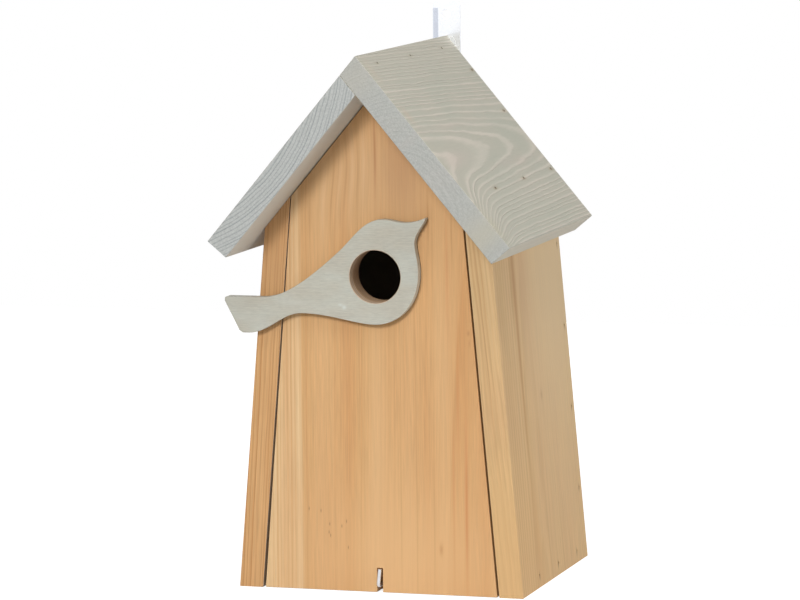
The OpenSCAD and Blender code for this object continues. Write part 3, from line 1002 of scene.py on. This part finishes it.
@dataclass
class Front:
    """The board that swings, with its entrance, and the bird plate round it."""

    edge: float = 0.35
    bird_edge: float = 0.5

    def build(self) -> None:
        """Makes and dresses the front board and the bird."""
        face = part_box("front_panel")[0].y
        hole = Vector((HOLE_X * MM, face, HOLE_Z * MM))
        sawing = Sawing(Vector((0, face, 0)), UPWARDS, RIGHTWARDS, pith_across=62, pith_through=40,
                        drift_through=0.018)
        make_board("front_panel", "front_board", Timber(
            "front_board_honey_pine", sawing, "D5A873", "CB9963", ring=2.3, wander=1.0, wander_along=260,
            fibre=0.8, fibre_strength=0.08, relief=0.03, sap_edge=-48.5, sap="E6C799", outwards=-BACKWARDS,
            clouds=(Cloud("CC945E", 0.55, 11, 700), Cloud("DDB27F", 0.5, 16, 500),
                    Cloud("CD9A68", 0.3, 50, 160)),
            swirls=(Swirl(sawing.on_board(-22, 262), 16, 22, 3.0),), patches=self.front_patches(sawing),
            bore=Bore(hole, HOLE_RADIUS, "BF9F7E")), Body.FRONT, self.edge)
        sawing = Sawing(Vector((0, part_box("bird_plate")[0].y, 0)), RIGHTWARDS, UPWARDS, pith_across=100,
                        pith_through=-30)
        # Nicks and paler places of the stain, measured from the middle of the hole
        nicks = tuple(Patch(hole + RIGHTWARDS * (x * MM) + UPWARDS * (z * MM), *rest) for x, z, *rest in (
            (-19.5, -19, 1.2, 1.2, 0.6, "D9E0DC"), (-22, -17.5, 0.8, 1.4, 0.45, "D9E0DC"),
            (-82, -27, 3.0, 9.0, 0.3, "C9CBC2"), (-50, -17, 1.5, 7.0, 0.3, "CACCC4")))
        make_board("bird_plate", "bird", Timber(
            "bird_plate_stain", sawing, "BDB9AB", "B5B2A5", end="BDB9AB", end_late="B5B2A5", ring=1.3,
            wander=0.8, fibre=0.55, fibre_along=4, fibre_strength=0.08, relief=0.02, fibre_relief=0.08,
            roughness=0.68, clouds=(Cloud("C3C6BC", 0.6, 16, 30),), patches=nicks,
            # Painted contact shade on the plate's back arris, where it lies on the board
            bore=Bore(hole, HOLE_RADIUS, "C9B096"), rear_shade="6E604C"),
            Body.FRONT, self.bird_edge, shortest=0.3)

    @staticmethod
    def front_patches(sawing: Sawing) -> tuple[Patch, ...]:
        """Bands, thin dark lines, resin streaks, specks and pin knots of the front board.

        Args:
            sawing: The board's sawing.

        Returns:
            The patches, the lowest first.
        """
        thin, streak, pale = "AC7844", "CB8450", "E8C79B"
        bands = ((1.5, 85, 6.5, 110, 0.45, "E1BA88"), (52, 150, 10, 70, 0.25, "CC9058"),
                 (20, 22, 60, 45, 0.7, "E4B783"), (-50, 110, 1.0, 170, 0.15, "E8C796"),
                 (-5, 258, 50, 38, 0.4, "D4B188"), (42, 150, 8, 90, 0.3, "E3BC8C"),
                 (17, 260, 14, 34, 0.55, "B78A62"), (-9, 262, 1.0, 26, 0.3, pale),
                 (-17, 256, 1.1, 26, 0.28, pale), (-25, 248, 0.9, 22, 0.2, pale),
                 (-34, 236, 1.3, 20, 0.28, pale))
        lines = ((-12, 165, 0.45, 100, 0.3, thin), (14, 60, 0.4, 60, 0.22, thin),
                 (24, 95, 0.5, 95, 0.3, thin), (35, 55, 0.45, 55, 0.25, thin),
                 (-1, 268, 0.8, 26, 0.55, "A8683C"), (-13, 256, 0.6, 28, 0.3, thin),
                 (-21, 252, 0.6, 26, 0.3, thin), (-29, 244, 0.5, 22, 0.3, thin),
                 (-42, 230, 0.6, 18, 0.3, thin), (33, 228, 0.5, 14, 0.5, thin), (47, 220, 0.5, 14, 0.4, thin),
                 (44, 195, 0.9, 35, 0.35, streak), (50, 125, 0.9, 45, 0.3, streak),
                 (55, 55, 1.0, 45, 0.65, streak), (47, 60, 0.6, 55, 0.3, streak))
        specks = tuple((x, z, 0.3, 1.0, 0.6, "7A5230") for x, z in (
            (-44.5, 50), (-37, 49), (-31.5, 41), (-32, 36), (-31, 34), (-24, 40), (-21, 43), (-20, 27)))
        knots = ((39, 28, 1.1, 3.6, 0.4, "B0703F"), (57, 160, 0.8, 1.6, 0.35, "9A6238"),
                 (57.5, 154, 0.5, 2.0, 0.25, "B4703F"))
        return patches_on(sawing, bands + lines + specks + knots)


@dataclass
class Ironwork:
    """Strap, screws, hook, nails and brads.

    The reflection strip is the part of the strap with a painted reflection of something darker: its left and
    right edge from the strap's left, and its distance from the top, in millimetres.
    """

    strap_edge: float = 0.25
    reflection_strip: tuple[float, float, float] = (0.3, 3.6, 5.0)

    def build(self) -> None:
        """Makes and dresses the metal pieces."""
        low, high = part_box("hanger_strap")
        # Painted reflection of something darker, in a strip at the strap's left
        left, right, below = self.reflection_strip
        painted_reflection = (low.x + left * MM, low.x + right * MM, high.z - below * MM)
        strap = eased_copy("hanger_strap", "strap", self.strap_edge, shortest=0.2)
        dress(strap, ZincPlate("zinc_plate_strap", "F0F2F6", "C6CBD6", painted_reflection=painted_reflection).material())
        install(strap, "hanger_strap", Body.CASE)
        bright = ZincPlate("zinc_plate_bright", "C6C9CE", "A9ADB5", roughness=0.34).material()
        covered = ZincPlate("stained_over_nail", "B4AE9D", "A39B88", roughness=0.6).material()
        dark = ZincPlate("steel_wire_nail", "8E8B86", "6B665F", roughness=0.42).material()
        for node, piece in frame["nodes"].items():
            if node in ("latch_hook", "hanger_screws"):
                dress(piece, bright)
            elif node == "ridge_brads":
                dress(piece, covered)
            elif "brads" in node or "nail" in node:
                dress(piece, dark)


@dataclass(frozen=True)
class Lamp:
    """A square soft box that looks at the middle of the object.

    The azimuth, 0 in front and positive to the right, and the height above the horizon are in
    degrees, the distance and the side length in metres, and the power in watts.
    """

    name: str
    azimuth: float
    height: float
    distance: float
    side: float
    power: float

    def light(self) -> None:
        """Adds the lamp to the scene."""
        data = bpy.data.lights.new(self.name, "AREA")
        data.size = self.side
        data.energy = self.power
        lamp = bpy.data.objects.new(self.name, data)
        turn, lift = math.radians(self.azimuth), math.radians(self.height)
        away = Vector((math.sin(turn) * math.cos(lift), -math.cos(turn) * math.cos(lift), math.sin(lift)))
        lamp.location = OBJECT_MIDDLE + away * self.distance
        lamp.rotation_euler = (-away).to_track_quat("-Z", "Y").to_euler()
        bpy.context.scene.collection.objects.link(lamp)


LAMPS = (Lamp("key", 1, 23, 2.6, 0.55, 34.0), Lamp("front_high", 0, 42, 2.5, 2.0, 8.0),
         Lamp("side_fill", 82, 12, 2.6, 1.4, 25.0), Lamp("top_soft", 30, 72, 2.4, 1.6, 25.0),
         Lamp("back_fill", 205, 22, 2.8, 1.8, 14.0))


@dataclass
class Studio:
    """Pale floor, soft lamps and the camera.

    Places and the floor's half width are in metres, angles in degrees, lens and sensor in
    millimetres. The floor's lift is light that only the eye sees.
    """

    camera_at: tuple[float, float, float] = (0.8201, -2.6818, 0.5130)
    yaw: float = 17.179
    pitch: float = -6.98
    roll: float = -0.609
    lens: float = 205.92
    sensor: float = 36.0
    floor_half: float = 1.2
    floor_lift: float = 0.8
    ambient: float = 0.12

    def build(self) -> None:
        """Sets up the camera, the world, the floor and the lamps."""
        bpy.context.scene.view_settings.view_transform = "Standard"
        self.camera()
        self.world()
        self.floor()
        for lamp in LAMPS:
            lamp.light()

    def camera(self) -> None:
        """Adds the camera at its place, turned by yaw, pitch and roll."""
        yaw, pitch, roll = (math.radians(a) for a in (self.yaw, self.pitch, self.roll))
        ahead = Vector((-math.sin(yaw) * math.cos(pitch), math.cos(yaw) * math.cos(pitch), math.sin(pitch)))
        level = Vector((math.cos(yaw), math.sin(yaw), 0))
        above = level.cross(ahead)
        side = level * math.cos(roll) + above * math.sin(roll)
        up = above * math.cos(roll) - level * math.sin(roll)
        data = bpy.data.cameras.new("camera")
        data.lens = self.lens
        data.sensor_width = self.sensor
        camera = bpy.data.objects.new("camera", data)
        turned = Matrix((side, up, -ahead)).transposed().to_4x4()
        camera.matrix_world = Matrix.Translation(self.camera_at) @ turned
        bpy.context.scene.collection.objects.link(camera)
        bpy.context.scene.camera = camera

    @staticmethod
    def seen_directly(tree: Tree) -> Node:
        """Is 1 for rays from the camera and for mirrored and refracted ones, else 0.

        Args:
            tree: The node tree.

        Returns:
            The number.
        """
        path = add_node(tree, "LightPath")
        seen, mirrored, refracted = (path.outputs[f"Is {ray} Ray"]
                                     for ray in ("Camera", "Glossy", "Transmission"))
        either = add_node(tree, "Math", {0: seen, 1: mirrored}, operation="MAXIMUM")
        return add_node(tree, "Math", {0: either, 1: refracted}, operation="MAXIMUM")

    def world(self) -> None:
        """White to the eye and in reflections, and a soft even light for the rest."""
        world = bpy.data.worlds.new("studio")
        bpy.context.scene.world = world
        world.use_nodes = True
        tree = world.node_tree
        tree.nodes.clear()
        level = span(tree, self.seen_directly(tree), end=(self.ambient, 1.0))
        sky = add_node(tree, "Background", {"Color": linear("FFFFFF"), "Strength": level})
        add_node(tree, "OutputWorld", {"Surface": sky})

    def floor(self) -> None:
        """Pale grey paper floor, lifted to white for the eye, that keeps the shadow under the box."""
        bpy.ops.mesh.primitive_plane_add(size=2 * self.floor_half, location=(0, 0, 0))
        floor = bpy.context.active_object
        floor.name = "studio_floor"
        made = new_material("white_paper")
        tree = made.node_tree
        paper = add_node(tree, "BsdfDiffuse", {"Color": linear("C4C4C4")})
        strength = times(tree, self.seen_directly(tree), self.floor_lift)
        lift = add_node(tree, "Emission", {"Color": linear("FFFFFF"), "Strength": strength})
        both = add_node(tree, "AddShader", {0: paper, 1: lift})
        add_node(tree, "OutputMaterial", {"Surface": both})
        dress(floor, made)


def main() -> None:
    """Builds the object's looks and the studio round it."""
    logging.basicConfig(level=logging.INFO, format="%(name)s %(message)s")
    Studio().build()
    for part in (Case(), Roof(), Front(), Ironwork()):
        part.build()


if __name__ == "__main__":
    main()
